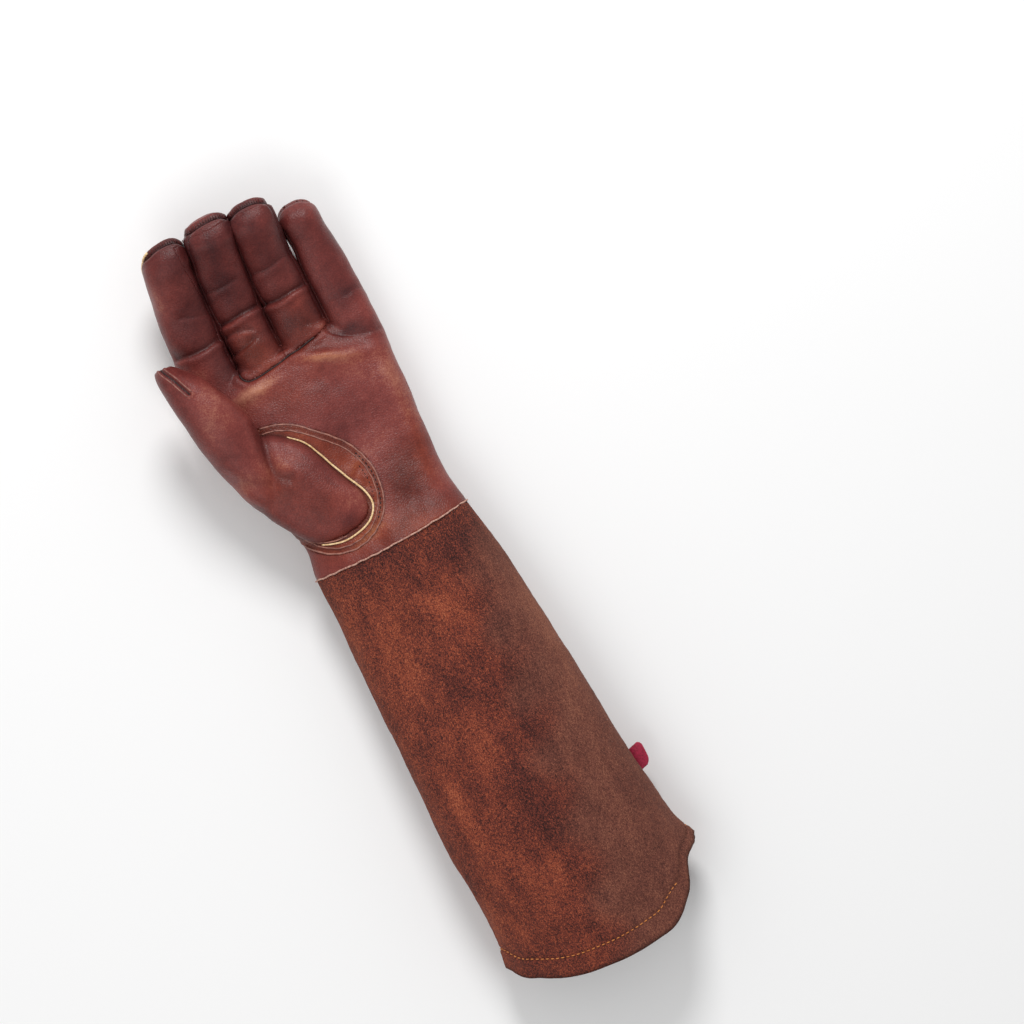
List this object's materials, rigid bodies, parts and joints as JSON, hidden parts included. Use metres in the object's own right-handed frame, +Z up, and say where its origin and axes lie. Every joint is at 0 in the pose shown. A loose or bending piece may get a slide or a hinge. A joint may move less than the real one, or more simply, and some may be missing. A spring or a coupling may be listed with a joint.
{
  "type": "rose pruning gauntlet",
  "caption": "Long leather gardening gauntlet for the left hand, lying palm up, with a wide suede forearm cuff open at the hem and a set-in thumb.",
  "frame": {"origin": "middle of the glove's bounding box at the ground it lies on", "axes": "+Y from the cuff's hem to the fingertips, +X from the thumb's side to the little finger's side, +Z up, the way the palm faces"},
  "size_m": [0.1394, 0.442, 0.0585],
  "materials": {
    "grain_leather": "reddish brown grain leather, mottled, half gloss",
    "suede": "rust brown suede, matt, mottled",
    "cream_welt": "cream piping, half matt",
    "pale_edge": "pale cut edge of leather",
    "crimson_fabric": "woven tape, plain"
  },
  "bodies": {
    "root": {"palm_panel": "grain_leather", "back_panel": "grain_leather", "middle_finger_front": "grain_leather", "ring_finger_front": "grain_leather", "gusset_index_middle": "grain_leather", "gusset_middle_ring": "grain_leather", "gusset_ring_little": "grain_leather", "thumb": "grain_leather", "thumb_patch": "grain_leather", "thumb_welt": "cream_welt", "side_welt": "cream_welt", "wrist_welt": "pale_edge", "cuff_palm_panel": "suede", "cuff_back_panel": "suede", "size_tab": "crimson_fabric"}
  },
  "joints": []
}
